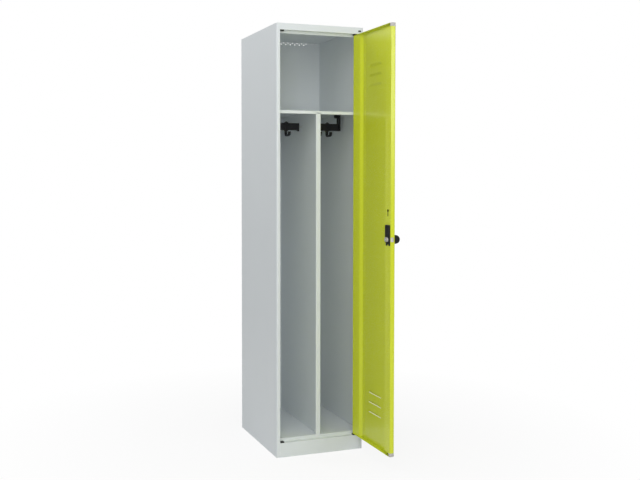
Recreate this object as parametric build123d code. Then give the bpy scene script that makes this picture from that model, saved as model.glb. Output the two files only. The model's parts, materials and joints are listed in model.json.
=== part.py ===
"""School locker: one tall compartment with a hat shelf, a centre divider, two coat rails
with sliding hooks, and one door on pivot pins with a twist-knob bolt lock.

Millimetres. +X to the right seen from the front, +Y to the back, +Z up. The origin is on
the floor at the centre of the cabinet's footprint. The door is modelled closed and then
turned about its pins to the open rest pose.
"""
from build123d import *
import os

# ---- driving dimensions ------------------------------------------------------------------
WIDTH, DEPTH, HEIGHT = 400.0, 500.0, 1850.0
SHEET = 0.8                 # thickness of every folded sheet
SEAM = 0.2                  # gap between sheets that are joined edge to edge
STRIP = 16.0                # width of the front strip of a side panel
RECESS = 24.0               # depth of the door rebate behind the front plane
CORNER_BEND = 4.5           # inner radius of the rounded front corners
TIGHT_BEND = 0.5            # inner radius of the other folds
SOFT_BEND = 2.8             # inner radius of the fold between the plinth's ledge and riser
WIDE_BEND = 16.0            # inner radius of the folds in the door's hinge-side channel

HEADER = 28.0               # height of the header face
STOP_LIP = 11.5             # height of the stop lip below the header
PLINTH = 62.0               # height of the plinth face
FLOOR_TOP = 75.5
SHELF_TOP = 1485.5
SHELF_LIP = 12.8
DIVIDER_FRONT = 21.0        # width of the divider's folded front edge
DIVIDER_TOP = 1475.0        # top of that folded edge, inside the shelf lip's notch

DOOR_LEFT, DOOR_RIGHT = -181.5, 181.0
DOOR_BOTTOM, DOOR_TOP = 67.0, 1816.6
DOOR_THICK = 20.0
OPEN_ANGLE = 90.0           # door's rest angle from closed
PIVOT_X, PIVOT_INSET = 173.5, 7.5
PIN_R = 3.0
RUNNING_GAP = 0.06          # radial clearance of the pins in the door caps
CAP = 15.0                  # height of the plastic caps in the door's corners
CAP_WIDTH = 11.5            # width of the two that show on the free side
LOUVRE_LENGTH, LOUVRE_PITCH = 124.0, 42.0
LOUVRE_TOP_INSET, LOUVRE_LOW_INSET = 146.0, 131.5   # from the door's ends
DOOR_BEND = 3.5             # inner radius of the free side's long fold
STILE_WIDTH = 49.2          # reinforcing channels along both long sides of the door
STILE_FALL = 8.0            # how much the hinge side's channel slopes across its width

LOCK_X, LOCK_Z = -161.0, 949.0   # spindle axis on the closed door
SPINDLE_R = 4.0
SPINDLE_FIT = 0.05
BOLT_TRAVEL = 9.0
CAM_RADIUS = BOLT_TRAVEL / 2 ** 0.5   # drive pin's distance from the spindle axis
BOLT_HEIGHT = 18.0
KNOB_R, KNOB_LENGTH = 18.0, 25.5

RAIL_Y, RAIL_BOTTOM, RAIL_TOP = -25.0, 1412.0, 1444.0
RAIL_INNER, RAIL_OUTER = 14.0, 186.0
RAIL_DEPTH = 12.0
HOOK_WIDTH = 14.0
HOOK_GAP = 0.4
TIE_PIN_R = 3.0

# ---- derived places ----------------------------------------------------------------------
FRONT, BACK = -DEPTH / 2, DEPTH / 2
SIDE = WIDTH / 2
OPENING = SIDE - STRIP                  # half width of the door opening
REBATE = FRONT + RECESS                 # plane of the stop lip, shelf and divider fronts
HEADER_BOTTOM = HEIGHT - HEADER
HEADER_SIDE = SIDE - SHEET - CORNER_BEND - SEAM   # half width of the header face
LINING = SIDE - SHEET - 0.3             # half width of what fits between the side panels
PIVOT_Y = FRONT + PIVOT_INSET
RIM = FRONT + DOOR_THICK                # inner plane of the closed door
SKIN = FRONT + SHEET                    # inner face of the closed door's skin
RAIL_MID = (RAIL_BOTTOM + RAIL_TOP) / 2
BOLT_HALF = 6.9                         # half of the bolt's thickness
BOLT_Y = RIM - SHEET - 0.3 - BOLT_HALF  # middle of the bolt's thickness


# ---- helpers -----------------------------------------------------------------------------
def block(x0, x1, y0, y1, z0, z1):
    """A box between two corners."""
    middle = ((x0 + x1) / 2, (y0 + y1) / 2, (z0 + z1) / 2)
    return Pos(*middle) * Box(x1 - x0, y1 - y0, z1 - z0)


def rod(x, z, radius, y0, y1):
    """A round bar along Y."""
    return Pos(x, (y0 + y1) / 2, z) * Rot(90, 0, 0) * Cylinder(radius, y1 - y0)


def post(x, y, radius, z0, z1):
    """A round bar along Z."""
    return Pos(x, y, (z0 + z1) / 2) * Cylinder(radius, z1 - z0)


def folded(points, bends, thickness=SHEET):
    """Section of a folded strip: points run along one face, with the material to their
    left, and bends holds the inner radius of each fold."""
    path = [Vector(*p) for p in points]
    runs = [(b - a).normalized() for a, b in zip(path, path[1:])]
    left = [Vector(-run.Y, run.X) for run in runs]
    other = [path[0] + left[0] * thickness]
    near_radii, far_radii = [], []
    for i, bend in enumerate(bends):
        share = thickness / (1 + left[i].dot(left[i + 1]))
        other.append(path[i + 1] + (left[i] + left[i + 1]) * share)
        turns_left = runs[i].cross(runs[i + 1]).Z > 0
        near_radii.append(bend + thickness if turns_left else bend)
        far_radii.append(bend if turns_left else bend + thickness)
    other.append(path[-1] + left[-1] * thickness)
    edges = FilletPolyline(*path, radius=near_radii).edges()
    edges += FilletPolyline(*other, radius=far_radii).edges()
    edges += [Line(path[0], other[0]).edge(), Line(path[-1], other[-1]).edge()]
    return make_face(edges)


def upright(section, z0, z1):
    """Extrudes a section drawn in X and Y from z0 up to z1."""
    return extrude(Pos(0, 0, z0) * section, z1 - z0)


def crosswise(section, x0, x1):
    """Extrudes a section drawn in Y and Z from x0 to x1."""
    return extrude(Plane.YZ.offset(x0) * section, x1 - x0)


def tray(x0, x1, y0, y1, z_top, lip):
    """A sheet with four flanges folded down."""
    outside = block(x0, x1, y0, y1, z_top - lip, z_top)
    outside = fillet(outside.edges().filter_by(Axis.Z), SHEET + TIGHT_BEND)
    outside = fillet(outside.faces().sort_by(Axis.Z)[-1].edges(), 1.2)
    inside = block(x0 + SHEET, x1 - SHEET, y0 + SHEET, y1 - SHEET, z_top - lip - 1,
                   z_top - SHEET)
    return outside - inside


def mirrored(shape):
    return mirror(shape, Plane.YZ)


def opened(shape):
    """Turns a piece of the closed door about the pins to the rest pose."""
    return shape.rotate(Axis((PIVOT_X, PIVOT_Y, 0), (0, 0, 1)), OPEN_ANGLE)


# ---- carcass -----------------------------------------------------------------------------
def side_panel():
    """Left side: outer face, front strip, return flange and a flange for the back."""
    section = folded(
        [(-SIDE + 14, BACK), (-SIDE, BACK), (-SIDE, FRONT), (-OPENING, FRONT),
         (-OPENING, REBATE)],
        [TIGHT_BEND, CORNER_BEND, TIGHT_BEND])
    panel = upright(section, 0, HEIGHT - SHEET - 0.1)
    header_room = block(-HEADER_SIDE - SEAM, -OPENING + 1, FRONT - 1, REBATE + 1,
                        HEADER_BOTTOM - SEAM, HEIGHT)
    return panel - header_room


def left_side_panel():
    strike_slot = block(-OPENING - 2, -OPENING + 1, BOLT_Y - 7.5, BOLT_Y + 7.5,
                        LOCK_Z - 12, LOCK_Z + 12)
    return side_panel() - strike_slot


def right_side_panel():
    return mirrored(side_panel())


VENT_PITCH, VENT_COLUMNS, VENT_R = 23.3, 12, 2.8
VENT_TOP_ROW, VENT_ROW_STEP = 1845.5, 7.0
WALL_HOLE_X, WALL_HOLE_Z, WALL_HOLE_R = 120.0, 1440.0, 4.5


def back_panel():
    """Flat back between the side panels' rear flanges, vented under the roof."""
    panel = block(-LINING, LINING, BACK - 2 * SHEET - 0.1, BACK - SHEET - 0.1, 1.2,
                  HEIGHT - SHEET - 0.2)
    for row in (0, 1):
        for column in range(VENT_COLUMNS - row):
            x = VENT_PITCH * (column + (row + 1 - VENT_COLUMNS) / 2)
            z = VENT_TOP_ROW - row * VENT_ROW_STEP
            panel -= rod(x, z, VENT_R, BACK - 5, BACK)
    for x in (-WALL_HOLE_X, WALL_HOLE_X):
        panel -= rod(x, WALL_HOLE_Z, WALL_HOLE_R, BACK - 5, BACK)
    return panel


PLUG_X, PLUG_Z = 183.0, 1834.0
PLUG_LENGTH, PLUG_HEIGHT = 14.0, 7.0
BUSH_BOSS_R = 5.5


def plug_oval(length, height, y0, y1):
    """An upright oval bar along Y at the header plug's place."""
    oval = Pos(PLUG_X, PLUG_Z) * SlotOverall(length, height)
    return extrude(Plane.XZ.offset(-y1) * oval, y1 - y0)


def top_panel():
    """Roof with the folded header: face, underside and stop lip."""
    section = folded(
        [(BACK, HEIGHT), (FRONT, HEIGHT), (FRONT, HEADER_BOTTOM), (REBATE, HEADER_BOTTOM),
         (REBATE, HEADER_BOTTOM - STOP_LIP)],
        [TIGHT_BEND, TIGHT_BEND, TIGHT_BEND])
    panel = crosswise(section, -SIDE, SIDE)
    outline = upright(Rectangle(WIDTH, DEPTH), HEADER_BOTTOM - 50, HEIGHT)
    front_corners = outline.edges().filter_by(Axis.Z).group_by(Axis.Y)[0]
    panel = panel & fillet(front_corners, CORNER_BEND + SHEET)
    roof_bottom = HEIGHT - SHEET
    for side in (-1, 1):
        edge = sorted((side * HEADER_SIDE, side * (SIDE + 1)))
        panel -= block(*edge, FRONT - 1, BACK, 0, roof_bottom)
        edge = sorted((side * (OPENING - 0.3), side * (SIDE + 1)))
        panel -= block(*edge, FRONT - 1, BACK, 0, HEADER_BOTTOM)
        panel -= block(*edge, REBATE, BACK, 0, HEADER_BOTTOM + 3)
    for x in (-PIVOT_X, PIVOT_X):
        panel -= post(x, PIVOT_Y, BUSH_BOSS_R + 0.2, HEADER_BOTTOM - 1, HEADER_BOTTOM + 3)
    return panel - plug_oval(PLUG_LENGTH - 1.6, PLUG_HEIGHT - 1.6, FRONT - 2, FRONT + 3)


def header_plug():
    """Small plastic plug in the header face."""
    head = plug_oval(PLUG_LENGTH, PLUG_HEIGHT, FRONT - 0.8, FRONT - 0.05)
    stem = plug_oval(PLUG_LENGTH - 2, PLUG_HEIGHT - 2, FRONT - 0.05, FRONT + 5)
    return head + stem


def plinth_front():
    """Plinth face, the ledge under the door and the riser in front of the floor."""
    section = folded(
        [(REBATE, FLOOR_TOP), (REBATE, PLINTH), (FRONT, PLINTH), (FRONT, 0)],
        [SOFT_BEND, TIGHT_BEND])
    panel = crosswise(section, -OPENING + SEAM, OPENING - SEAM)
    for x in (-PIVOT_X, PIVOT_X):
        panel -= post(x, PIVOT_Y, BUSH_BOSS_R + 0.2, PLINTH - 3, PLINTH + 1)
    return panel


BASE_TOP = PLINTH - SHEET - 0.3


def base_frame():
    """Folded frame inside the plinth: the locker stands on its inward bottom flange."""
    y0, y1 = FRONT + SHEET + 0.3, BACK - 2 * SHEET - 0.4
    x1 = LINING - 0.1
    outside = block(-x1, x1, y0, y1, 0, BASE_TOP)
    walls_inside = block(-x1 + SHEET, x1 - SHEET, y0 + SHEET, y1 - SHEET, SHEET, BASE_TOP + 1)
    flange = 18.0
    bottom_hole = block(-x1 + flange, x1 - flange, y0 + flange, y1 - flange, -1, 2)
    corner_room = block(OPENING - 1.5, SIDE, FRONT, REBATE + 0.3, -1, BASE_TOP + 1)
    corner_room += block(PIVOT_X - BUSH_BOSS_R - 1, SIDE, FRONT, y0 + 2, BASE_TOP - 12, BASE_TOP + 1)
    return outside - walls_inside - bottom_hole - corner_room - mirrored(corner_room)


def floor_panel():
    y0 = REBATE + SHEET + 0.2
    return tray(-LINING, LINING, y0, BACK - 2 * SHEET - 0.4, FLOOR_TOP,
                FLOOR_TOP - BASE_TOP - 0.1)


def hat_shelf():
    """Folded tray with a notch in its front lip for the divider's folded edge."""
    shelf = tray(-LINING, LINING, REBATE, BACK - 2 * SHEET - 0.4, SHELF_TOP, SHELF_LIP)
    notch = DIVIDER_FRONT / 2 + 0.4
    shelf -= block(-notch, notch, REBATE - 1, REBATE + 2, SHELF_TOP - SHELF_LIP - 1,
                   DIVIDER_TOP + 3.5)
    for side in (-1, 1):
        shelf -= post(side * ARM_TAB_X, RAIL_Y, RIVET_R + 0.1, SHELF_TOP - 3, SHELF_TOP + 1)
    return shelf


def centre_divider():
    """Upright sheet with a folded box edge at the front and a flange at the back."""
    half = DIVIDER_FRONT / 2
    bottom, shelf_under = FLOOR_TOP + 0.1, SHELF_TOP - SHEET - 0.2
    rear = BACK - 2 * SHEET - 0.3
    box_depth = 20.0
    edge = Pos(0, REBATE + box_depth / 2) * RectangleRounded(DIVIDER_FRONT, box_depth, 1.5)
    hollow = Pos(0, REBATE + box_depth / 2) * Rectangle(
        DIVIDER_FRONT - 2 * SHEET, box_depth - 2 * SHEET)
    front_edge = upright(edge - hollow, bottom, DIVIDER_TOP)
    sheet = block(-SHEET / 2, SHEET / 2, REBATE + box_depth - SHEET, rear, bottom,
                  shelf_under)
    rear_flange = block(-SHEET / 2, half, rear - SHEET, rear, bottom,
                        SHELF_TOP - SHELF_LIP - 1)
    shelf_room = block(-1, 1, rear - 3, rear + 1, SHELF_TOP - SHELF_LIP - 1, SHELF_TOP)
    lip_room = block(-1, 1, REBATE, REBATE + box_depth, DIVIDER_TOP, SHELF_TOP)
    pin_hole = Pos(0, RAIL_Y, RAIL_MID) * Rot(0, 90, 0) * Cylinder(TIE_PIN_R + 0.1, 4)
    return front_edge + sheet + rear_flange - shelf_room - lip_room - pin_hole


# ---- corner blocks and hinge pins --------------------------------------------------------
BUSH_WIDTH, BUFFER_WIDTH, BLOCK_DEPTH = 26.0, 18.4, 18.0
TOP_BLOCK, BOTTOM_BLOCK = 4.9, 4.5     # heights that show


def corner_block(width, z0, z1, boss0, boss1):
    """Plastic block in a corner of the opening, with a boss through the sheet."""
    x1 = OPENING - 0.3
    body = block(x1 - width, x1, FRONT + 0.4, FRONT + 0.4 + BLOCK_DEPTH, z0, z1)
    body = fillet(body.edges().filter_by(Axis.Z), 1.5)
    return body + post(PIVOT_X, PIVOT_Y, BUSH_BOSS_R, boss0, boss1)


def top_block(width):
    z1 = HEADER_BOTTOM - 0.1
    return corner_block(width, z1 - TOP_BLOCK, z1, z1 - 1, z1 + 9)


def bottom_block(width):
    z0 = PLINTH + 0.1
    return corner_block(width, z0, z0 + BOTTOM_BLOCK, z0 - 11, z0 + 1)


TOP_PIN = (DOOR_TOP - 16, HEADER_BOTTOM + 8)
BOTTOM_PIN = (PLINTH - 9, DOOR_BOTTOM + 16)


def bored(shape, pin):
    """A corner block with the blind hole that holds its hinge pin."""
    return shape - post(PIVOT_X, PIVOT_Y, PIN_R + 0.02, pin[0], pin[1])


def hinge_pin(pin):
    body = post(PIVOT_X, PIVOT_Y, PIN_R, pin[0], pin[1])
    return chamfer(body.edges().filter_by(GeomType.CIRCLE), 0.5)


# ---- coat rails and hooks ----------------------------------------------------------------
ARM_X0, ARM_DEPTH = 178.0, 26.0
ARM_TAB_X = 170.0
RIVET_R = 2.0


def coat_rail():
    """Right rail: channel open to the back, with an arm up to the shelf."""
    y0, y1 = RAIL_Y - RAIL_DEPTH / 2, RAIL_Y + RAIL_DEPTH / 2
    wall = 3.0
    rail = block(RAIL_INNER, RAIL_OUTER, y0, y1, RAIL_BOTTOM, RAIL_TOP)
    rail = fillet(rail.edges().filter_by(Axis.X).group_by(Axis.Y)[0], 1.5)
    rail -= block(RAIL_INNER + 12, ARM_X0, y0 + wall, y1 + 1, RAIL_BOTTOM + wall,
                  RAIL_TOP - wall)
    foot = Polyline((RAIL_INNER, RAIL_BOTTOM - 4.4), (RAIL_INNER + 4, RAIL_BOTTOM - 4.4),
                    (RAIL_INNER + 12, RAIL_BOTTOM + 1), (RAIL_INNER, RAIL_BOTTOM + 1),
                    close=True)
    rail += extrude(Plane.XZ.offset(-y1) * make_face(foot), RAIL_DEPTH)
    under_shelf = SHELF_TOP - SHEET - 0.2
    arm = block(ARM_X0, RAIL_OUTER, RAIL_Y - ARM_DEPTH / 2, RAIL_Y + ARM_DEPTH / 2,
                RAIL_BOTTOM, under_shelf)
    arm = fillet(arm.edges().filter_by(Axis.X), 2.0)
    tab = block(ARM_TAB_X - 7, ARM_X0 + 1, RAIL_Y - 9, RAIL_Y + 9, under_shelf - 14,
                under_shelf)
    tab = fillet(tab.edges().filter_by(Axis.Y).group_by(Axis.X)[0].group_by(Axis.Z)[0], 6.0)
    rail += arm + tab
    rivet_hole = post(ARM_TAB_X, RAIL_Y, RIVET_R + 0.05, under_shelf - 9, under_shelf + 1)
    pin_hole = Pos(RAIL_INNER + 5, RAIL_Y, RAIL_MID) * Rot(0, 90, 0) * Cylinder(
        TIE_PIN_R + 0.05, 10.4)
    return rail - rivet_hole - pin_hole


def rail_tie_pin():
    """Steel pin through the divider that carries both rails' inner ends."""
    reach = RAIL_INNER + 10
    return Pos(0, RAIL_Y, RAIL_MID) * Rot(0, 90, 0) * Cylinder(TIE_PIN_R, 2 * reach)


def rail_rivets():
    """Two rivets through the shelf into the rails' arms."""
    rivets = []
    for side in (-1, 1):
        shank = post(side * ARM_TAB_X, RAIL_Y, RIVET_R, SHELF_TOP - 9, SHELF_TOP + 0.5)
        head = post(side * ARM_TAB_X, RAIL_Y, 4.0, SHELF_TOP + 0.05, SHELF_TOP + 1.4)
        head = fillet(head.edges().group_by(Axis.Z)[-1], 1.0)
        rivets.append((shank + head).solid())
    return Compound(rivets)


def coat_hook(x):
    """Clip that slides on the rail, with a forward J hook below it."""
    wall = 3.0
    y0 = RAIL_Y - RAIL_DEPTH / 2 - HOOK_GAP
    y1 = RAIL_Y + RAIL_DEPTH / 2 + HOOK_GAP
    z0, z1 = RAIL_BOTTOM - HOOK_GAP, RAIL_TOP + HOOK_GAP
    half = HOOK_WIDTH / 2
    clip = block(-half, half, y0 - wall, y1 + wall, z0 - wall, z1 + wall)
    clip = fillet(clip.edges().filter_by(Axis.X), 2.0)
    clip -= block(-half - 1, half + 1, y0, y1, z0, z1)
    clip -= block(-half - 1, half + 1, y1 - 1, y1 + wall + 1, RAIL_MID - 5, RAIL_MID + 5)
    nub = post(0, RAIL_Y, 4.0, z1 + wall - 1, z1 + wall + 4)
    nub = fillet(nub.edges().group_by(Axis.Z)[-1], 2.0)
    stem_y, low = RAIL_Y + 4, 1383.0
    hook = folded(
        [(stem_y - 50, low + 21), (stem_y - 46, low + 1), (stem_y, low),
         (stem_y, z0 - wall + 1)],
        [3.0, 5.0], thickness=8.0)
    hook = crosswise(hook, -half + 1, half - 1)
    tip = hook.edges().filter_by(Axis.X).filter_by(lambda edge: edge.center().Y < stem_y - 30)
    hook = fillet(tip.group_by(Axis.Z)[-1], 3.0)
    return Pos(x, 0, 0) * (clip + nub + hook)


# ---- door (closed) -----------------------------------------------------------------------
def louvre(z0):
    """Outward pressed louvre with its mouth at z0 and sloping ends: the hood and the
    space inside it."""
    middle = (DOOR_LEFT + DOOR_RIGHT) / 2
    out, tall, end_slope = 4.0, 13.0, 15.0

    def wedge(back, front, low, sill, high, half):
        profile = Polyline((back, sill), (SKIN, sill), (FRONT, low), (front, low),
                           (front, z0 + 2.5), (FRONT, high), (back, high), close=True)
        shape = crosswise(make_face(profile), middle - half, middle + half)
        plan = Polyline((middle - half, low), (middle + half, low),
                        (middle + half, z0 + 2.5), (middle + half - end_slope, high),
                        (middle - half + end_slope, high), (middle - half, z0 + 2.5),
                        close=True)
        return shape & extrude(Plane.XZ.offset(-back - 1) * make_face(plan), 20)

    half = LOUVRE_LENGTH / 2
    hood = wedge(SKIN + 0.01, FRONT - out, z0, z0 + 0.5, z0 + tall, half)
    space = wedge(SKIN + 1, FRONT - out + 0.9, z0 - 0.5, z0 + 0.9, z0 + tall - 2, half - 1)
    return hood, space


DIMPLE_X, DIMPLE_Z = -19.0, 1711.0


def door_panel():
    """Folded pan: skin, hinge flange, free flange, top and bottom flanges."""
    section = folded(
        [(DOOR_LEFT, RIM), (DOOR_LEFT, FRONT), (DOOR_RIGHT, FRONT), (DOOR_RIGHT, RIM)],
        [DOOR_BEND, CORNER_BEND])
    door = upright(section, DOOR_BOTTOM, DOOR_TOP)
    for z0 in (DOOR_BOTTOM, DOOR_TOP - SHEET):
        door += block(DOOR_LEFT + CAP_WIDTH + 0.3, DOOR_RIGHT - 0.5, SKIN - 0.3, RIM, z0, z0 + SHEET)
        door -= post(PIVOT_X, PIVOT_Y, PIN_R + 1.0, z0 - 1, z0 + SHEET + 1)
    for z0 in (DOOR_BOTTOM - 1, DOOR_TOP - CAP - 0.2):
        door -= block(DOOR_LEFT - 1, DOOR_LEFT + CAP_WIDTH + 0.2, SKIN, RIM + 1, z0, z0 + CAP + 1.2)
    first = DOOR_TOP - LOUVRE_TOP_INSET
    last = DOOR_BOTTOM + LOUVRE_LOW_INSET
    for i in range(3):
        for z0 in (first - i * LOUVRE_PITCH, last + i * LOUVRE_PITCH):
            hood, space = louvre(z0 - 5)
            door = door + hood - space
    dimple = Pos(DIMPLE_X, DIMPLE_Z) * RectangleRounded(5.6, 21, 2.5)
    door += extrude(Plane.XZ.offset(-SKIN + 0.3) * dimple, SHEET + 0.4)
    dimple = Pos(DIMPLE_X, DIMPLE_Z) * RectangleRounded(4.2, 19.6, 1.8)
    door -= extrude(Plane.XZ.offset(-SKIN - 1) * dimple, 1.9)
    door -= rod(LOCK_X, LOCK_Z, 7.0, FRONT - 1, SKIN + 1)
    door -= block(DOOR_LEFT - 1, DOOR_LEFT + 2, BOLT_Y - BOLT_HALF - 0.3, RIM + 1,
                  LOCK_Z - BOLT_HEIGHT / 2 - 0.3, LOCK_Z + BOLT_HEIGHT / 2 + 0.3)
    return door


KEY_X, KEY_Z, KEY_R, KEY_SLOT = -157.0, 1065.0, 6.5, 6.5


def lock_stile():
    """Channel that stiffens the free side and carries the lock."""
    x0 = DOOR_LEFT + SHEET + 0.3
    leg = x0 + STILE_WIDTH
    foot_y = SKIN + SHEET + 0.1
    section = folded([(leg + 12, foot_y), (leg, foot_y), (leg, RIM), (x0, RIM)],
                     [TIGHT_BEND, TIGHT_BEND])
    stile = upright(section, DOOR_BOTTOM + CAP + 0.4, DOOR_TOP - CAP - 0.4)
    stile -= rod(LOCK_X, LOCK_Z, 6.0, RIM - 4, RIM + 1)
    stile -= rod(KEY_X, KEY_Z, KEY_R, RIM - 4, RIM + 1)
    stile -= block(KEY_X - KEY_SLOT / 2, KEY_X + KEY_SLOT / 2, RIM - 4, RIM + 1,
                   KEY_Z - 22, KEY_Z)
    for z in HOUSING_SCREWS:
        stile -= rod(HOUSING_X, z, SCREW_R + 0.05, RIM - 4, RIM + 1)
    return stile


def hinge_stile():
    """Channel that stiffens the hinge side: a slightly sloping web with wide bends."""
    x1 = DOOR_RIGHT - SHEET - 0.3
    leg = x1 - STILE_WIDTH
    foot_y = SKIN + SHEET + 0.1
    section = folded([(x1, RIM), (leg, RIM - STILE_FALL), (leg - 16, foot_y),
                      (leg - 32, foot_y)], [WIDE_BEND, WIDE_BEND])
    return upright(section, DOOR_BOTTOM + SHEET + 0.2, DOOR_TOP - SHEET - 0.2)


def free_cap(z0):
    """Plastic cap that closes a corner of the door on the free side."""
    x0 = DOOR_LEFT
    cap = block(x0, x0 + CAP_WIDTH, SKIN + 0.1, RIM, z0, z0 + CAP)
    cap = fillet(cap.edges().filter_by(Axis.Z).group_by(Axis.X)[0], DOOR_BEND - 0.1)
    end = -1 if z0 > HEIGHT / 2 else 0
    cap = fillet(cap.edges().filter_by(Axis.X).group_by(Axis.Z)[end].group_by(Axis.Y)[-1], 2.5)
    hollow = block(x0 + 3, x0 + CAP_WIDTH - 3, SKIN, RIM - 3, z0 + 3, z0 + CAP - 3)
    return cap - hollow


def hinge_cap(z0, pin):
    """Plastic corner inside the pan on the hinge side, bored for its pin."""
    x1 = DOOR_RIGHT - SHEET - 0.2
    cap = block(x1 - CAP, x1, SKIN + 0.1, RIM - SHEET - 2.8, z0, z0 + CAP - SHEET - 0.2)
    cap = chamfer(cap.edges().filter_by(Axis.Z).group_by(Axis.X)[-1].group_by(Axis.Y)[0], 4.6)
    return cap - post(PIVOT_X, PIVOT_Y, PIN_R + RUNNING_GAP, pin[0] - 0.5, pin[1] + 0.5)


# ---- lock (door closed) ------------------------------------------------------------------
HOUSING_X, HOUSING_WIDTH = LOCK_X, 34.0
HOUSING_Z0, HOUSING_Z1 = 924.0, 1008.0
HOUSING_DEPTH = 7.0
HOUSING_SCREWS = (974.0, 998.0)
SCREW_R = 2.0
HOUSING_FACE = RIM + 0.1 + HOUSING_DEPTH


def lock_housing():
    """Plastic cover on the inside of the door, with a thin notched foot."""
    x0, x1 = HOUSING_X - HOUSING_WIDTH / 2, HOUSING_X + HOUSING_WIDTH / 2
    y0, wall = RIM + 0.1, 2.0
    housing = block(x0, x1, y0, HOUSING_FACE, HOUSING_Z0, HOUSING_Z1)
    housing = fillet(housing.edges().filter_by(Axis.Y), 4.0)
    housing = fillet(housing.faces().sort_by(Axis.Y)[-1].edges(), 1.2)
    foot_top = HOUSING_Z0 + 13
    housing -= block(x0 - 1, x1 + 1, y0 + 3, HOUSING_FACE + 1, HOUSING_Z0 - 1, foot_top)
    hollow = block(x0 + wall, x1 - wall, y0 - 1, HOUSING_FACE - wall, foot_top + wall,
                   HOUSING_Z1 - wall)
    housing -= hollow
    notch = Polyline((HOUSING_X - 9.5, HOUSING_Z0 - 1), (HOUSING_X + 9.5, HOUSING_Z0 - 1),
                     (HOUSING_X, HOUSING_Z0 + 12), close=True)
    housing -= extrude(Plane.XZ.offset(-HOUSING_FACE - 1) * make_face(notch),
                       HOUSING_DEPTH + 3)
    housing += rod(LOCK_X, LOCK_Z, 8.0, y0, HOUSING_FACE - 1)
    for z in HOUSING_SCREWS:
        housing += rod(HOUSING_X, z, 5.0, y0, HOUSING_FACE - 1)
        housing -= rod(HOUSING_X, z, SCREW_R + 0.05, y0 - 1, HOUSING_FACE + 1)
        housing -= rod(HOUSING_X, z, 3.8, HOUSING_FACE - 2, HOUSING_FACE + 1)
    return housing - rod(LOCK_X, LOCK_Z, SPINDLE_R + 0.3, y0 - 1, HOUSING_FACE + 1)


def lock_screws():
    screws = []
    for z in HOUSING_SCREWS:
        shank = rod(HOUSING_X, z, SCREW_R, RIM - 5, HOUSING_FACE - 1)
        head = rod(HOUSING_X, z, 3.6, HOUSING_FACE - 1.9, HOUSING_FACE - 0.1)
        head -= block(HOUSING_X - 4, HOUSING_X + 4, HOUSING_FACE - 1, HOUSING_FACE + 1,
                      z - 0.5, z + 0.5)
        screws.append((shank + head).solid())
    return Compound(screws)


ROSETTE_FACE = FRONT - 3.5


def lock_rosette():
    """Round plate on the outside of the door, under the knob."""
    plate = rod(LOCK_X, LOCK_Z, 15.5, ROSETTE_FACE, FRONT - 0.05)
    plate = fillet(plate.edges().group_by(Axis.Y)[0], 1.5)
    neck = rod(LOCK_X, LOCK_Z, 6.8, FRONT - 0.05, SKIN + 2)
    return plate + neck - rod(LOCK_X, LOCK_Z, SPINDLE_R + 0.3, FRONT - 5, SKIN + 3)


def lock_knob():
    """Domed knob with shallow grip flutes round its rim and an index groove."""
    top = KNOB_LENGTH
    outline = Line((0, 0), (KNOB_R - 1, 0)) + Line((KNOB_R - 1, 0), (KNOB_R, 1))
    outline += Line((KNOB_R, 1), (KNOB_R, 9))
    outline += Spline((KNOB_R, 9), (KNOB_R * 0.82, top * 0.68), (0, top),
                      tangents=[(0, 1), (-1, 0)])
    outline += Line((0, top), (0, 0))
    knob = revolve(Plane.XZ * make_face(outline), Axis.Z)
    for i in range(12):
        flute = Pos(KNOB_R + 1.6, 0, 5) * Cylinder(2.6, 20)
        knob -= Rot(0, 0, 15 + 30 * i) * flute
    knob -= Pos(0, KNOB_R * 0.45, top) * Box(1.6, KNOB_R * 0.9, 3)
    knob -= Pos(0, 0, 9) * Cylinder(SPINDLE_R + SPINDLE_FIT, 18.2)
    return Pos(LOCK_X, ROSETTE_FACE - 0.3, LOCK_Z) * Rot(90, 0, 0) * knob


SPINDLE_END = HOUSING_FACE + 9.0


def lock_spindle():
    spindle = rod(LOCK_X, LOCK_Z, SPINDLE_R, ROSETTE_FACE - 0.3 - 17.8, SPINDLE_END)
    return chamfer(spindle.edges().group_by(Axis.Y)[-1], 0.8)


CAM_Y0 = BOLT_Y + 2.6
PIN_OFFSET = CAM_RADIUS * 0.7071


def drive_cam():
    """Disc on the spindle whose pin works in the bolt's notch."""
    disc = rod(LOCK_X, LOCK_Z, CAM_RADIUS + 2.6, CAM_Y0, CAM_Y0 + 3)
    pin = rod(LOCK_X + PIN_OFFSET, LOCK_Z + PIN_OFFSET, 2.0, CAM_Y0 - 5, CAM_Y0)
    return disc + pin - rod(LOCK_X, LOCK_Z, SPINDLE_R + SPINDLE_FIT, CAM_Y0 - 1, CAM_Y0 + 4)


PLATE_Y0 = HOUSING_FACE + 0.4


def follower_plate():
    """Flat metal plate on the inner end of the spindle that shows the bolt's state."""
    shape = Pos(LOCK_X, LOCK_Z) * RectangleRounded(31, 19, 7)
    plate = extrude(Plane.XZ.offset(-PLATE_Y0 - 3) * shape, 3)
    return plate - rod(LOCK_X, LOCK_Z, SPINDLE_R + SPINDLE_FIT, PLATE_Y0 - 1, PLATE_Y0 + 4)


def spindle_nut():
    y0 = PLATE_Y0 + 3.05
    hexagon = Pos(LOCK_X, LOCK_Z) * RegularPolygon(6.0, 6, major_radius=False)
    nut = extrude(Plane.XZ.offset(-y0 - 4) * hexagon, 4)
    return nut - rod(LOCK_X, LOCK_Z, SPINDLE_R + SPINDLE_FIT, y0 - 1, y0 + 7)


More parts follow.
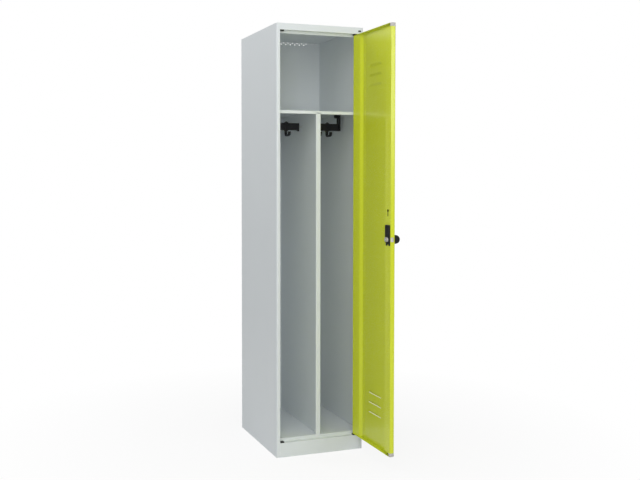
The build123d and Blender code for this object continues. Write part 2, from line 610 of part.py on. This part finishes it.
def lock_bolt():
    """Sliding bolt: nose in the free flange's notch, forked tail round the spindle, and a
    slot in the tail's upper prong for the cam's pin."""
    nose_end, nose_back = DOOR_LEFT + 0.3, LOCK_X - CAM_RADIUS - 3.2
    low, high = LOCK_Z - BOLT_HEIGHT / 2, LOCK_Z + BOLT_HEIGHT / 2
    nose = block(nose_end, nose_back, BOLT_Y - BOLT_HALF, BOLT_Y + BOLT_HALF, low, high)
    nose = fillet(nose.edges().filter_by(Axis.Z).group_by(Axis.X)[0], 2.0)
    tail_end = LOCK_X + 12
    tail = block(nose_back - 1, tail_end, BOLT_Y - 2, BOLT_Y + 2, low, high)
    tail += block(LOCK_X - 5, tail_end, BOLT_Y - 2, BOLT_Y + 2, high - 1, high + 5)
    room = SPINDLE_R + 0.6
    fork = block(LOCK_X - room, tail_end + 1, BOLT_Y - 3, BOLT_Y + 3, LOCK_Z - room,
                 LOCK_Z + room)
    notch_x = LOCK_X + PIN_OFFSET
    notch = block(notch_x - 2.5, notch_x + 2.5, BOLT_Y - 3, BOLT_Y + 3, LOCK_Z,
                  LOCK_Z + CAM_RADIUS + 2.6)
    return nose + tail - fork - notch


# ---- the nodes ---------------------------------------------------------------------------
CARCASS = {
    "left_side_panel": left_side_panel,
    "right_side_panel": right_side_panel,
    "back_panel": back_panel,
    "top_panel": top_panel,
    "header_plug": header_plug,
    "plinth_front": plinth_front,
    "base_frame": base_frame,
    "floor_panel": floor_panel,
    "hat_shelf": hat_shelf,
    "centre_divider": centre_divider,
    "hinge_bush_top": lambda: bored(top_block(BUSH_WIDTH), TOP_PIN),
    "hinge_bush_bottom": lambda: bored(bottom_block(BUSH_WIDTH), BOTTOM_PIN),
    "corner_buffer_top": lambda: mirrored(top_block(BUFFER_WIDTH)),
    "corner_buffer_bottom": lambda: mirrored(bottom_block(BUFFER_WIDTH)),
    "hinge_pin_top": lambda: hinge_pin(TOP_PIN),
    "hinge_pin_bottom": lambda: hinge_pin(BOTTOM_PIN),
    "coat_rail_left": lambda: mirrored(coat_rail()),
    "coat_rail_right": coat_rail,
    "rail_tie_pin": rail_tie_pin,
    "rail_rivets": rail_rivets,
    "coat_hook_left_outer": lambda: coat_hook(-125.0),
    "coat_hook_left_inner": lambda: coat_hook(-75.0),
    "coat_hook_right_inner": lambda: coat_hook(75.0),
    "coat_hook_right_outer": lambda: coat_hook(125.0),
}
DOOR = {
    "door_panel": door_panel,
    "lock_stile": lock_stile,
    "hinge_stile": hinge_stile,
    "door_cap_free_top": lambda: free_cap(DOOR_TOP - CAP),
    "door_cap_free_bottom": lambda: free_cap(DOOR_BOTTOM),
    "door_cap_hinge_top": lambda: hinge_cap(DOOR_TOP - CAP, TOP_PIN),
    "door_cap_hinge_bottom": lambda: hinge_cap(DOOR_BOTTOM + SHEET + 0.2, BOTTOM_PIN),
    "lock_housing": lock_housing,
    "lock_screws": lock_screws,
    "lock_rosette": lock_rosette,
    "lock_knob": lock_knob,
    "lock_spindle": lock_spindle,
    "drive_cam": drive_cam,
    "follower_plate": follower_plate,
    "spindle_nut": spindle_nut,
    "lock_bolt": lock_bolt,
}

os.makedirs("parts", exist_ok=True)
for node, make in CARCASS.items():
    export_step(make(), f"parts/{node}.step")
for node, make in DOOR.items():
    export_step(opened(make()), f"parts/{node}.step")
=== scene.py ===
"""School locker: materials, detail pieces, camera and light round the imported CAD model."""
import json
import math

import bmesh
import bpy
from mathutils import Matrix, Vector


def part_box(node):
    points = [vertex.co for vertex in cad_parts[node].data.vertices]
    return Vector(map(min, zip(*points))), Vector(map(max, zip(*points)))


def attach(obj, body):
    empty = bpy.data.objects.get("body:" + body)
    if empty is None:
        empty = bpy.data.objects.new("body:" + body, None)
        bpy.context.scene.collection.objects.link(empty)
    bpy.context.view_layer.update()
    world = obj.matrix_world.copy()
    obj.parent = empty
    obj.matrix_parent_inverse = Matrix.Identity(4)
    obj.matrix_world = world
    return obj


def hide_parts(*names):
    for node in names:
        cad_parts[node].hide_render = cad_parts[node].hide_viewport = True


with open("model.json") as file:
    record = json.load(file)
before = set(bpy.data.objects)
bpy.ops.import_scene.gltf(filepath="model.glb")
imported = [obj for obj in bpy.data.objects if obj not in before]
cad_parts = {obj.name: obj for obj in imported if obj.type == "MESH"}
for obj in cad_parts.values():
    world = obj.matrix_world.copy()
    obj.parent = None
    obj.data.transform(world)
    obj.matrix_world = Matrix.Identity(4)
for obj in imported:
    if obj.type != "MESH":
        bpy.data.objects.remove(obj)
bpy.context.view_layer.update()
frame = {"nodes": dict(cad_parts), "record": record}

nodes = frame["nodes"]


# ---- shader helpers ----------------------------------------------------------------------
# features per metre of the noises that the materials are made of
CLOUDS, GLOSS_SPECKS, ORANGE_PEEL, FINE_PEEL = 3.5, 260.0, 420.0, 1500.0
PLASTIC_BLOTCHES, PLASTIC_SPECKS, PLASTIC_GRAIN = 40.0, 900.0, 2600.0
STEEL_BLOTCHES, STEEL_LINES = 120.0, 700.0
STEEL_LINE_DEPTH = 0.00004  # metres
FINE_PEEL_SHARE = 0.35      # depth of the fine peel as a share of the coarse one's
COAT_ROUGHNESS = 0.12


def new_material(name):
    """A node material: returns it, its node tree and its Principled shader."""
    made = bpy.data.materials.new(name)
    made.use_nodes = True
    tree = made.node_tree
    return made, tree, tree.nodes["Principled BSDF"]


def add(tree, kind, **values):
    """Adds a shader node and sets its sockets or properties by name."""
    node = tree.nodes.new(kind)
    for key, value in values.items():
        name = key.replace("_", " ")
        if name in node.inputs:
            node.inputs[name].default_value = value
        else:
            setattr(node, key, value)
    return node


def object_noise(tree, scale, detail=2.0, roughness=0.5, stretch=(1, 1, 1)):
    """Noise fixed to the object: scale is in features per metre."""
    place = tree.nodes.new("ShaderNodeTexCoord")
    mapping = tree.nodes.new("ShaderNodeMapping")
    mapping.inputs["Scale"].default_value = stretch
    tree.links.new(place.outputs["Object"], mapping.inputs["Vector"])
    noise = add(tree, "ShaderNodeTexNoise", Scale=scale, Detail=detail, Roughness=roughness)
    tree.links.new(mapping.outputs["Vector"], noise.inputs["Vector"])
    return noise.outputs["Fac"]


def remap(tree, source, low, high, from_low=0.3, from_high=0.7):
    """Spreads source's values between from_low and from_high over low to high."""
    spread = tree.nodes.new("ShaderNodeMapRange")
    spread.inputs["From Min"].default_value = from_low
    spread.inputs["From Max"].default_value = from_high
    spread.inputs["To Min"].default_value = low
    spread.inputs["To Max"].default_value = high
    tree.links.new(source, spread.inputs["Value"])
    return spread.outputs["Result"]


def blend_colours(tree, factor, first, second):
    """A colour between first and second, by a factor that varies over the surface."""
    mix = tree.nodes.new("ShaderNodeMix")
    mix.data_type = "RGBA"
    mix.inputs["A"].default_value = (*first, 1)
    mix.inputs["B"].default_value = (*second, 1)
    tree.links.new(factor, mix.inputs["Factor"])
    return mix.outputs["Result"]


def bump(tree, shader, height, distance, under=None):
    """Bumps a shader's surface by distance metres, on top of the bump given as under."""
    node = add(tree, "ShaderNodeBump", Strength=1.0, Distance=distance)
    tree.links.new(height, node.inputs["Height"])
    if under is not None:
        tree.links.new(under, node.inputs["Normal"])
    tree.links.new(node.outputs["Normal"], shader.inputs["Normal"])
    return node.outputs["Normal"]


# ---- materials ---------------------------------------------------------------------------
def powder_coat(name, colour, shade, roughness, peel, coat=0.0):
    """Baked powder paint: orange peel peel metres deep, faint clouding and uneven gloss, and
    a clear top layer by the share coat."""
    made, tree, shader = new_material(name)
    clouds = object_noise(tree, CLOUDS, detail=3.0)
    tint = blend_colours(tree, remap(tree, clouds, 0, 1), colour, shade)
    tree.links.new(tint, shader.inputs["Base Color"])
    gloss = object_noise(tree, GLOSS_SPECKS, detail=3.0)
    tree.links.new(remap(tree, gloss, roughness - 0.05, roughness + 0.06),
                   shader.inputs["Roughness"])
    fine = bump(tree, shader, object_noise(tree, FINE_PEEL), peel * FINE_PEEL_SHARE)
    bump(tree, shader, object_noise(tree, ORANGE_PEEL), peel, under=fine)
    shader.inputs["Specular IOR Level"].default_value = 0.45
    if coat:
        shader.inputs["Coat Weight"].default_value = coat
        shader.inputs["Coat Roughness"].default_value = COAT_ROUGHNESS
    return made


def moulded_plastic(name, colour, shade, roughness, grain):
    """Injection-moulded plastic with a fine eroded texture, grain metres deep."""
    made, tree, shader = new_material(name)
    blotches = object_noise(tree, PLASTIC_BLOTCHES)
    tint = blend_colours(tree, remap(tree, blotches, 0, 1), colour, shade)
    tree.links.new(tint, shader.inputs["Base Color"])
    gloss = object_noise(tree, PLASTIC_SPECKS)
    tree.links.new(remap(tree, gloss, roughness - 0.06, roughness + 0.08),
                   shader.inputs["Roughness"])
    bump(tree, shader, object_noise(tree, PLASTIC_GRAIN, detail=3.0), grain)
    shader.inputs["Specular IOR Level"].default_value = 0.35
    return made


def plated_steel(name, colour, shade, roughness, stretch):
    """Plated steel with fine drawing lines along the axis whose stretch is small."""
    made, tree, shader = new_material(name)
    shader.inputs["Metallic"].default_value = 1.0
    blotches = object_noise(tree, STEEL_BLOTCHES, detail=4.0)
    tint = blend_colours(tree, remap(tree, blotches, 0, 1), colour, shade)
    tree.links.new(tint, shader.inputs["Base Color"])
    lines = object_noise(tree, STEEL_LINES, detail=4.0, stretch=stretch)
    tree.links.new(remap(tree, lines, roughness - 0.07, roughness + 0.1),
                   shader.inputs["Roughness"])
    bump(tree, shader, lines, STEEL_LINE_DEPTH)
    return made


PEEL = 0.00006              # depth of the paint's orange peel in metres
GRAIN = 0.00003             # depth of the plastic's texture in metres
GREY = powder_coat("grey_powder_coat", (0.79, 0.833, 0.852), (0.775, 0.818, 0.837), 0.42, PEEL)
GREEN = powder_coat("green_powder_coat", (0.765, 0.845, 0.034), (0.75, 0.83, 0.032), 0.24, PEEL,
                    coat=0.4)
BLACK = moulded_plastic("black_plastic", (0.0075, 0.0075, 0.0085), (0.011, 0.011, 0.012), 0.45,
                        GRAIN)
LIGHT = moulded_plastic("light_plastic", (0.62, 0.60, 0.57), (0.57, 0.555, 0.53), 0.45, GRAIN)
STEEL = plated_steel("plated_steel", (0.72, 0.72, 0.70), (0.60, 0.60, 0.59), 0.30, (1, 0.08, 1))
DARK_STEEL = plated_steel("blackened_steel", (0.05, 0.05, 0.05), (0.035, 0.035, 0.04), 0.4,
                          (1, 1, 1))
BRIGHT_STEEL = plated_steel("bright_zinc", (0.90, 0.87, 0.82), (0.82, 0.79, 0.75), 0.48,
                            (1, 0.1, 1))
# painted shade: a near-black green that stands in for the shade inside the lock side's closed
# channel
CHANNEL_SHADE_GREEN = powder_coat("painted_channel_shade", (0.035, 0.042, 0.004), (0.02, 0.025, 0.003), 0.5,
                         PEEL)
PLUG = moulded_plastic("plug_plastic", (0.085, 0.09, 0.09), (0.07, 0.075, 0.075), 0.4, GRAIN)
# the finish of each material slot, and of the nodes that differ from their slot
OWN_FINISHES = {"header_plug": PLUG, "lock_bolt": BRIGHT_STEEL}
FINISHES = {
    "grey_paint": GREY,
    "green_paint": GREEN,
    "black_plastic": BLACK,
    "grey_plastic": LIGHT,
    "bare_steel": STEEL,
    "dark_steel": DARK_STEEL,
}


def finish_nodes():
    """Gives every CAD node the finish of its slot, or its own."""
    for part in frame["record"]["subparts"]:
        shown = nodes[part["node"]]
        shown.data.materials.clear()
        slot_finish = FINISHES[part["material_slot"]]
        shown.data.materials.append(OWN_FINISHES.get(part["node"], slot_finish))


finish_nodes()


# ---- detail pieces -----------------------------------------------------------------------
def millimetres(node):
    """A node's lowest and highest corner in millimetres."""
    low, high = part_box(node)
    return Vector(low) * 1000, Vector(high) * 1000


def middle(node):
    """The centre of a node's box in millimetres."""
    low, high = millimetres(node)
    return (low + high) / 2


def piece(name, mesh, body, slot, replaced, material=None):
    """Turns a bmesh drawn in millimetres into a piece that rides on a body, and stands for
    the replaced nodes."""
    bmesh.ops.recalc_face_normals(mesh, faces=mesh.faces)
    data = bpy.data.meshes.new(name)
    mesh.to_mesh(data)
    mesh.free()
    data.transform(Matrix.Scale(0.001, 4))
    data.materials.append(material or FINISHES[slot])
    made = bpy.data.objects.new(name, data)
    bpy.context.scene.collection.objects.link(made)
    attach(made, body)
    if replaced:
        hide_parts(*replaced)
    return made


def soften(made, width, segments=3, angle=35):
    """Rounds a piece's sharp edges by width in millimetres and shades it smooth."""
    rounding = made.modifiers.new("edges", "BEVEL")
    rounding.width = width * 0.001
    rounding.segments = segments
    rounding.limit_method = "ANGLE"
    rounding.angle_limit = math.radians(angle)
    rounding.harden_normals = True
    made.data.shade_smooth()


def prism(mesh, outline, axis, low, high):
    """Adds a closed prism: an outline of two coordinates, drawn out along an axis."""
    def point(pair, along):
        place = list(pair)
        place.insert("xyz".index(axis), along)
        return mesh.verts.new(place)

    near = [point(pair, low) for pair in outline]
    far = [point(pair, high) for pair in outline]
    mesh.faces.new(near)
    mesh.faces.new(far)
    for i in range(len(outline)):
        j = (i + 1) % len(outline)
        mesh.faces.new((near[i], near[j], far[j], far[i]))


def skin(mesh, rings):
    """Closes a row of rings with equal numbers of corners into a solid."""
    count = len(rings[0])
    for one, two in zip(rings, rings[1:]):
        for k in range(count):
            m = (k + 1) % count
            mesh.faces.new((one[k], one[m], two[m], two[k]))
    mesh.faces.new(rings[0])
    mesh.faces.new(rings[-1])


def spun(mesh, profile, centre, axis, turns, wave=None):
    """Adds a turned solid: profile holds (distance along the axis, radius), and wave may
    change the radius with the angle and the place on the profile."""
    rings = []
    for i, (along, radius) in enumerate(profile):
        ring = []
        for k in range(turns):
            angle = 2 * math.pi * k / turns
            reach = radius * (wave(angle, i) if wave else 1)
            place = [reach * math.cos(angle), reach * math.sin(angle)]
            place.insert("xyz".index(axis), along)
            ring.append(mesh.verts.new(Vector(centre) + Vector(place)))
        rings.append(ring)
    skin(mesh, rings)


def arc(centre, radius, start, end, steps):
    """Points on an arc in a plane, angles in degrees."""
    turn = [math.radians(start + (end - start) * i / steps) for i in range(steps + 1)]
    return [(centre[0] + radius * math.cos(a), centre[1] + radius * math.sin(a)) for a in turn]


def squared_circle(count, power):
    """Points on a circle that bulges towards a square as power grows from 2."""
    points = []
    for k in range(count):
        angle = 2 * math.pi * k / count
        c, s = math.cos(angle), math.sin(angle)
        reach = (abs(c) ** power + abs(s) ** power) ** (-1 / power)
        points.append((reach * c, reach * s))
    return points


# coat hooks, in millimetres
CLIP_DEPTH, CLIP_HEIGHT = 18.8, 38.8
CLIP_WALL = 3.0
CLIP_GAP = 10.0             # height of the opening in the clip's back
CLIP_EDGE = 1.1             # rounding
NUB_HEIGHT = 4.0
# height above the clip, radius
NUB_PROFILE = ((-0.6, 4.0), (1.6, 3.9), (3.0, 3.4), (3.8, 2.2), (NUB_HEIGHT, 0.8))
NUB_TURNS = 32
HOOK_BAR = 9.0              # thickness of the bar at its root
HOOK_BAR_TAPER = 0.2        # share of that thickness lost at the tip
HOOK_HALF_WIDTH, HOOK_WIDENING = 6.0, 0.5
HOOK_BEND = 10.0
HOOK_TIP_HEIGHT = 21.0
HOOK_TIP_ANGLE = -176       # degrees round the second bend where the straight tip starts
HOOK_STEM_BACK = 13.4       # from the clip's front face to the middle of the stem
HOOK_STEM_SINK = 0.3        # how far the stem reaches into the clip
HOOK_ARC_STEPS = 8
HOOK_SIDES, HOOK_SQUARENESS = 16, 3.4
HOOK_EDGE = 1.2             # rounding of the bar's ends


def coat_hook(side):
    """Moulded clip round the rail with a tapering J hook below it and a nub above."""
    node = f"coat_hook_{side}"
    low, high = millimetres(node)
    x = (low.x + high.x) / 2
    half = (high.x - low.x) / 2
    mesh = bmesh.new()
    y1, y0 = high.y, high.y - CLIP_DEPTH
    z1 = high.z - NUB_HEIGHT
    z0 = z1 - CLIP_HEIGHT
    gap_low = (z0 + z1) / 2 - CLIP_GAP / 2
    gap_high = (z0 + z1) / 2 + CLIP_GAP / 2
    ring = [(y1, gap_high), (y1, z1), (y0, z1), (y0, z0), (y1, z0),
            (y1, gap_low), (y1 - CLIP_WALL, gap_low),
            (y1 - CLIP_WALL, z0 + CLIP_WALL), (y0 + CLIP_WALL, z0 + CLIP_WALL),
            (y0 + CLIP_WALL, z1 - CLIP_WALL), (y1 - CLIP_WALL, z1 - CLIP_WALL),
            (y1 - CLIP_WALL, gap_high)]
    prism(mesh, ring, "x", x - half, x + half)
    clip = piece(f"{node}_clip", mesh, f"hook_{side}", "black_plastic", [node])
    soften(clip, CLIP_EDGE)
    nub = bmesh.new()
    spun(nub, [(z1 + rise, radius) for rise, radius in NUB_PROFILE],
         (x, (y0 + y1) / 2, 0), "z", turns=NUB_TURNS)
    made = piece(f"{node}_nub", nub, f"hook_{side}", "black_plastic", [])
    made.data.shade_smooth()
    j_hook(side, x, y0 + HOOK_STEM_BACK, z0 + HOOK_STEM_SINK, low)


def j_hook(side, x, stem_y, stem_z, low):
    """The hook itself: a rounded bar along a J, thinner and wider towards its tip. It starts
    at (x, stem_y, stem_z) and reaches the low corner of its node's box."""
    tip_y = low.y + HOOK_BAR / 2
    bend_z = low.z + HOOK_BAR / 2 + HOOK_BEND
    route = [(stem_y, stem_z)]
    route += arc((stem_y - HOOK_BEND, bend_z), HOOK_BEND, 0, -90, HOOK_ARC_STEPS)
    route += arc((tip_y + HOOK_BEND, bend_z), HOOK_BEND, -90, HOOK_TIP_ANGLE,
                 HOOK_ARC_STEPS)
    route.append((tip_y, low.z + HOOK_TIP_HEIGHT))
    mesh = bmesh.new()
    rings = []
    count = len(route)
    for i, (y, z) in enumerate(route):
        before, after = route[max(i - 1, 0)], route[min(i + 1, count - 1)]
        run = Vector((0, after[0] - before[0], after[1] - before[1])).normalized()
        across = Vector((0, -run.z, run.y))
        share = i / (count - 1)
        thick = HOOK_BAR / 2 * (1 - HOOK_BAR_TAPER * share)
        wide = HOOK_HALF_WIDTH + HOOK_WIDENING * share
        ring = []
        for sideways, outward in squared_circle(HOOK_SIDES, HOOK_SQUARENESS):
            offset = across * (thick * outward) + Vector((wide * sideways, 0, 0))
            ring.append(mesh.verts.new(Vector((x, y, z)) + offset))
        rings.append(ring)
    skin(mesh, rings)
    made = piece(f"coat_hook_{side}_bar", mesh, f"hook_{side}", "black_plastic", [])
    soften(made, HOOK_EDGE, angle=60)


# the knob, in millimetres
# by the door: distance from the knob's inner face, inset from its radius, flute depth's share
KNOB_RIM = ((0.0, 1.4, 0.0), (0.25, 0.9, 0.0), (1.0, 0.5, 0.1), (2.2, 0.0, 0.9))
KNOB_DOME_START = 0.28      # share of the knob's length where its dome begins
KNOB_DOME_STEPS = 18
KNOB_DOME_FULLNESS = 0.85   # below 1 is fuller than an ellipse
KNOB_CROWN = 0.4            # radius of the small flat on the crown
KNOB_TURNS = 144
KNOB_FLUTES, FLUTE_DEPTH = 12, 0.075
FLUTE_REACH = 0.62          # share of the dome over which the flutes fade out


def knob():
    """Domed knob with a rounded rim and grip flutes that fade out towards the crown."""
    low, high = millimetres("lock_knob")
    centre = middle("lock_knob")
    radius = (high.z - low.z) / 2
    length = high.x - low.x
    profile = [(low.x + along, radius - inset) for along, inset, share in KNOB_RIM]
    depth = [share for along, inset, share in KNOB_RIM]
    for i in range(KNOB_DOME_STEPS + 1):
        turn = math.pi / 2 * i / KNOB_DOME_STEPS
        along = KNOB_DOME_START + (1 - KNOB_DOME_START) * math.sin(turn)
        profile.append((low.x + length * along,
                        max(radius * math.cos(turn) ** KNOB_DOME_FULLNESS, KNOB_CROWN)))
        depth.append(max(0.0, 1 - i / (FLUTE_REACH * KNOB_DOME_STEPS)))

    def wave(angle, i):
        return 1 - FLUTE_DEPTH * depth[i] * max(0.0, math.cos(KNOB_FLUTES * angle)) ** 2

    mesh = bmesh.new()
    spun(mesh, profile, (0, centre.y, centre.z), "x", turns=KNOB_TURNS, wave=wave)
    made = piece("lock_knob_grip", mesh, "knob", "black_plastic", ["lock_knob"])
    made.data.shade_smooth()


FOLLOWER_CORNERS, FOLLOWER_SQUARENESS = 64, 2.9
# back of the plate, then its front: share of the outline, distance in from that face
FOLLOWER_BACK = ((0.97, 0.0), (1.0, 0.4))
FOLLOWER_FRONT = ((1.0, 0.7), (0.93, 0.05), (0.80, 0.0), (0.72, 0.5), (0.30, 0.5))
FOLLOWER_EDGE = 0.15        # rounding
NUT_EDGE = 0.5


def follower_plate():
    """Pressed follower plate: a squared oval with a raised rim round a flat middle."""
    low, high = millimetres("follower_plate")
    centre = middle("follower_plate")
    half_y, half_z = (high.y - low.y) / 2, (high.z - low.z) / 2
    mesh = bmesh.new()

    def oval(share, along):
        corners = squared_circle(FOLLOWER_CORNERS, FOLLOWER_SQUARENESS)
        return [mesh.verts.new((along, centre.y + half_y * share * across,
                                centre.z + half_z * share * up)) for across, up in corners]

    rings = [oval(share, high.x - inward) for share, inward in FOLLOWER_BACK]
    rings += [oval(share, low.x + inward) for share, inward in FOLLOWER_FRONT]
    skin(mesh, rings)
    made = piece("follower_plate_pressed", mesh, "knob", "bare_steel", ["follower_plate"],
                 BRIGHT_STEEL)
    soften(made, FOLLOWER_EDGE, segments=2, angle=25)


def spindle_nut():
    """Hex nut with rounded edges in the middle of the follower plate."""
    low, high = millimetres("spindle_nut")
    centre = middle("follower_plate")
    radius = (high.y - low.y) / 2
    hexagon = [(centre.y + radius * math.cos(math.radians(60 * k)),
                centre.z + radius * math.sin(math.radians(60 * k))) for k in range(6)]
    mesh = bmesh.new()
    prism(mesh, hexagon, "x", low.x, high.x)
    made = piece("spindle_nut_hex", mesh, "knob", "bare_steel", ["spindle_nut"])
    soften(made, NUT_EDGE)


STILE_LIP = 0.003           # metres of the channel's foot left out of the painted shade
STILE_FACE = 0.0015         # metres behind the channel's face left out of the painted shade


def paint_channel_shade():
    """Painted shade: a near-black green deep inside the lock side's channel stands in for the
    shade that shows in the keyhole.
    """
    stile = nodes["lock_stile"]
    stile.data.materials.append(CHANNEL_SHADE_GREEN)
    low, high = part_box("lock_stile")
    for face in stile.data.polygons:
        looks_in = face.normal.x > 0.5 or face.normal.y < -0.5
        past_foot = face.center.y > low[1] + STILE_LIP
        if looks_in and past_foot and face.center.x < high[0] - STILE_FACE:
            face.material_index = 1


for hook in ("left_outer", "left_inner", "right_inner", "right_outer"):
    coat_hook(hook)
knob()
follower_plate()
spindle_nut()
paint_channel_shade()


# ---- stage, light and camera -------------------------------------------------------------
WHITE = (1, 1, 1, 1)
FLOOR_GREY = (0.86, 0.86, 0.86, 1)
FLOOR_SIZE = 60             # metres
SKY_LIGHT = 0.27            # strength of the even light from all round
FLOOR_NEAR_WHITE = 0.88     # how far the camera sees the floor as pure white by the locker
FLOOR_WHITE_FROM, FLOOR_WHITE_TO = 0.35, 1.6   # metres from the origin over which it reaches 1
# name: place, target, size in metres, watts
SOFTBOXES = {
    "front_high": ((-1.4, -5.0, 3.2), (0, 0, 1.0), (3.0, 2.0), 46),
    "front_level": ((-0.5, -5.0, 1.3), (0, 0, 1.0), (3.0, 2.5), 5),
    "near_camera": ((-1.4, -4.2, 1.3), (0, 0, 1.0), (1.5, 1.5), 24),
    "overhead": ((-0.5, -1.5, 4.2), (0, 0, 1.0), (3.0, 3.0), 29),
    "front_top": ((-1.2, -1.7, 2.9), (0, -0.2, 1.5), (0.8, 0.8), 5),
    "front_right": ((2.2, -4.6, 2.0), (0, -0.4, 1.4), (1.4, 1.4), 11),
    "side_strip": ((1.75, -3.9, 2.0), (0.17, -0.6, 1.6), (0.5, 0.9), 3),
    "back_left": ((-2.4, 1.6, 2.9), (-0.2, 0, 1.4), (1.5, 1.5), 31),
}


def seen_white(tree):
    """A factor that is 1 for what is seen directly and 0 for light that bounces."""
    return tree.nodes.new("ShaderNodeLightPath").outputs["Is Camera Ray"]


def whiten(tree, shader, white, share, output):
    """Mixes shader with plain white by share and sends it to the output."""
    mix = tree.nodes.new("ShaderNodeMixShader")
    tree.links.new(share, mix.inputs[0])
    tree.links.new(shader.outputs[0], mix.inputs[1])
    tree.links.new(white.outputs[0], mix.inputs[2])
    tree.links.new(mix.outputs[0], output.inputs["Surface"])


def distance_whiteness(tree):
    """Seen whiteness of the floor: it fades up to the backdrop's white away from the locker."""
    place = tree.nodes.new("ShaderNodeTexCoord")
    length = add(tree, "ShaderNodeVectorMath", operation="LENGTH")
    tree.links.new(place.outputs["Object"], length.inputs[0])
    rise = remap(tree, length.outputs["Value"], FLOOR_NEAR_WHITE, 1.0, FLOOR_WHITE_FROM,
                 FLOOR_WHITE_TO)
    seen = add(tree, "ShaderNodeMath", operation="MULTIPLY")
    tree.links.new(seen_white(tree), seen.inputs[0])
    tree.links.new(rise, seen.inputs[1])
    return seen.outputs[0]


def floor():
    """Matt pale floor that lights the locker as grey and is seen as almost white."""
    bpy.ops.mesh.primitive_plane_add(size=FLOOR_SIZE)
    plane = bpy.context.object
    plane.name = "studio_floor"
    made, tree, shader = new_material("studio_white")
    shader.inputs["Base Color"].default_value = FLOOR_GREY
    shader.inputs["Roughness"].default_value = 0.9
    white = add(tree, "ShaderNodeEmission", Color=WHITE, Strength=1.0)
    whiten(tree, shader, white, distance_whiteness(tree), tree.nodes["Material Output"])
    plane.data.materials.append(made)


def softbox(name, place, target, size, power):
    """A large area light that faces a target."""
    lamp = bpy.data.lights.new(name, "AREA")
    lamp.shape = "RECTANGLE"
    lamp.size, lamp.size_y = size
    lamp.energy = power
    holder = bpy.data.objects.new(name, lamp)
    holder.location = place
    holder.rotation_euler = (Vector(target) - Vector(place)).to_track_quat("-Z", "Y").to_euler()
    bpy.context.scene.collection.objects.link(holder)


def studio():
    """Floor, white backdrop, even sky light and softboxes."""
    floor()
    world = bpy.data.worlds.new("studio")
    world.use_nodes = True
    tree = world.node_tree
    light = tree.nodes["Background"]
    light.inputs["Color"].default_value = WHITE
    light.inputs["Strength"].default_value = SKY_LIGHT
    backdrop = add(tree, "ShaderNodeBackground", Color=WHITE, Strength=1.0)
    whiten(tree, light, backdrop, seen_white(tree), tree.nodes["World Output"])
    bpy.context.scene.world = world
    for name, (place, target, size, power) in SOFTBOXES.items():
        softbox(name, place, target, size, power)
    bpy.context.scene.view_settings.view_transform = "Standard"


CAMERA_PLACE = (-1.451, -3.779, 1.2045)
CAMERA_YAW, CAMERA_PITCH = 20.25, 2.06          # degrees to the right and down
CAMERA_LENS, CAMERA_SENSOR = 49.8, 36.0         # millimetres
CAMERA_SHIFT = (0.05, -0.05)


def camera():
    """Level view from the front left; the small shift places the locker in the frame."""
    eye = bpy.data.cameras.new("camera")
    eye.lens = CAMERA_LENS
    eye.sensor_width = CAMERA_SENSOR
    eye.shift_x, eye.shift_y = CAMERA_SHIFT
    holder = bpy.data.objects.new("camera", eye)
    holder.location = CAMERA_PLACE
    holder.rotation_euler = (math.radians(90 - CAMERA_PITCH), 0, math.radians(-CAMERA_YAW))
    bpy.context.scene.collection.objects.link(holder)
    bpy.context.scene.camera = holder


studio()
camera()
